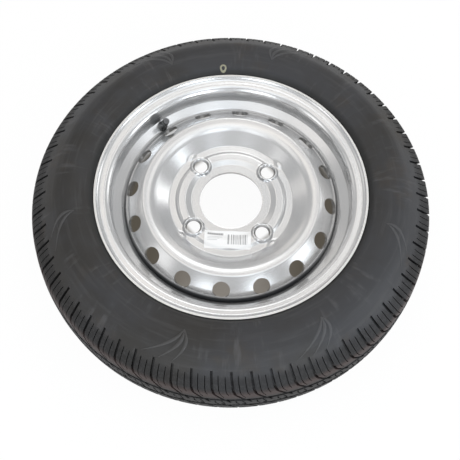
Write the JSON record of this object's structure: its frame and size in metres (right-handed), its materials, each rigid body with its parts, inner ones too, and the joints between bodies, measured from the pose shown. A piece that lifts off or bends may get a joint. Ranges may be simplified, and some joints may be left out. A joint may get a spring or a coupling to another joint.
{
  "type": "trailer wheel",
  "caption": "small steel trailer wheel with its tyre fitted: dished disc with conical stud seats and round vents, welded in a drop-centre rim, with a snap-in rubber valve",
  "frame": {"origin": "centre of the wheel: on its axis, midway between the two sidewalls", "axes": "+Z along the wheel's axis, out of the outer face, which lies up; the stud holes stand on the diagonals of X and Y, and the valve between -X and +Y"},
  "size_m": [0.5429, 0.543, 0.1548],
  "materials": {
    "tyre_rubber": "moulded black rubber, slightly dusty",
    "silver_paint": "semi-gloss silver paint",
    "valve_rubber": "smooth black rubber",
    "brass": "turned brass",
    "spring_steel": "drawn wire",
    "cap_plastic": "moulded black plastic",
    "label_paper": "printed paper"
  },
  "bodies": {
    "wheel": {"tyre": "tyre_rubber", "rim_barrel": "silver_paint", "wheel_disc": "silver_paint", "disc_welds": "silver_paint", "valve_body": "valve_rubber", "valve_stem": "brass", "core_housing": "brass", "core_barrel_seal": "valve_rubber", "core_spring": "spring_steel", "label": "label_paper"},
    "core_pin": {"core_pin": "brass", "core_cup": "brass", "core_cup_seal": "valve_rubber"},
    "cap": {"valve_cap": "cap_plastic"}
  },
  "joints": [
    {"name": "cap_lift", "type": "slide", "parent": "wheel", "child": "cap", "axis": [0.2681, -0.2681, 0.9254], "range_m": [0, 0.025]},
    {"name": "pin_press", "type": "slide", "parent": "wheel", "child": "core_pin", "axis": [-0.2681, 0.2681, -0.9254], "range_m": [0, 0.001], "stiffness_N_per_m": 400, "springref_m": -0.002, "deforming": ["core_spring"]}
  ]
}
